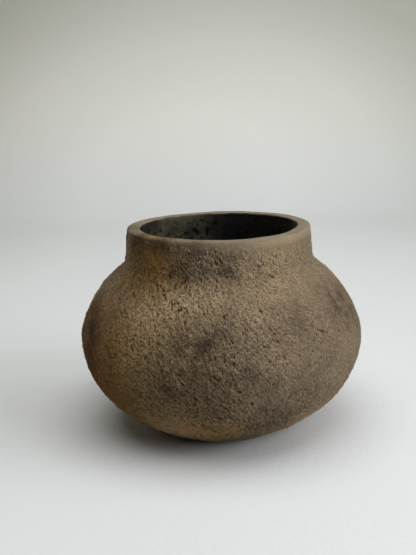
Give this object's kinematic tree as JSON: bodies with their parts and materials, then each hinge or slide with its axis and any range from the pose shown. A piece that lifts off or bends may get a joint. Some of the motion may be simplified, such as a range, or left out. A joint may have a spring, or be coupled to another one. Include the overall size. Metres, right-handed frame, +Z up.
{
  "type": "coil-built clay pot",
  "caption": "Round squat clay pot with a wide belly, small flat foot, short collar neck, flat wiped lip and a coarse gritty slip coat.",
  "frame": {"origin": "centre of the flat foot, on the surface that the pot stands on", "axes": "+Z up along the pot's axis of revolution; the pot is round, so X and Y are free"},
  "size_m": [0.18, 0.18, 0.1295],
  "materials": {
    "bare_clay": "matt, worn smooth where it stands",
    "smoked_clay": "matt charcoal, scraped by hand",
    "wiped_clay": "matt, wiped smooth with a wet strip",
    "grit_slip": "matt, coarse and gritty, with smoke clouds"
  },
  "bodies": {
    "root": {"base_disc": "bare_clay", "base_seam_coil": "smoked_clay", "wall_course_01": "smoked_clay", "wall_course_02": "smoked_clay", "wall_course_03": "smoked_clay", "wall_course_04": "smoked_clay", "wall_course_05": "smoked_clay", "wall_course_06": "smoked_clay", "wall_course_07": "smoked_clay", "wall_course_08": "smoked_clay", "wall_course_09": "smoked_clay", "wall_course_10": "smoked_clay", "neck_fillet_coil": "smoked_clay", "neck_collar": "smoked_clay", "rim_coil": "wiped_clay", "grit_coat": "grit_slip"}
  },
  "joints": []
}
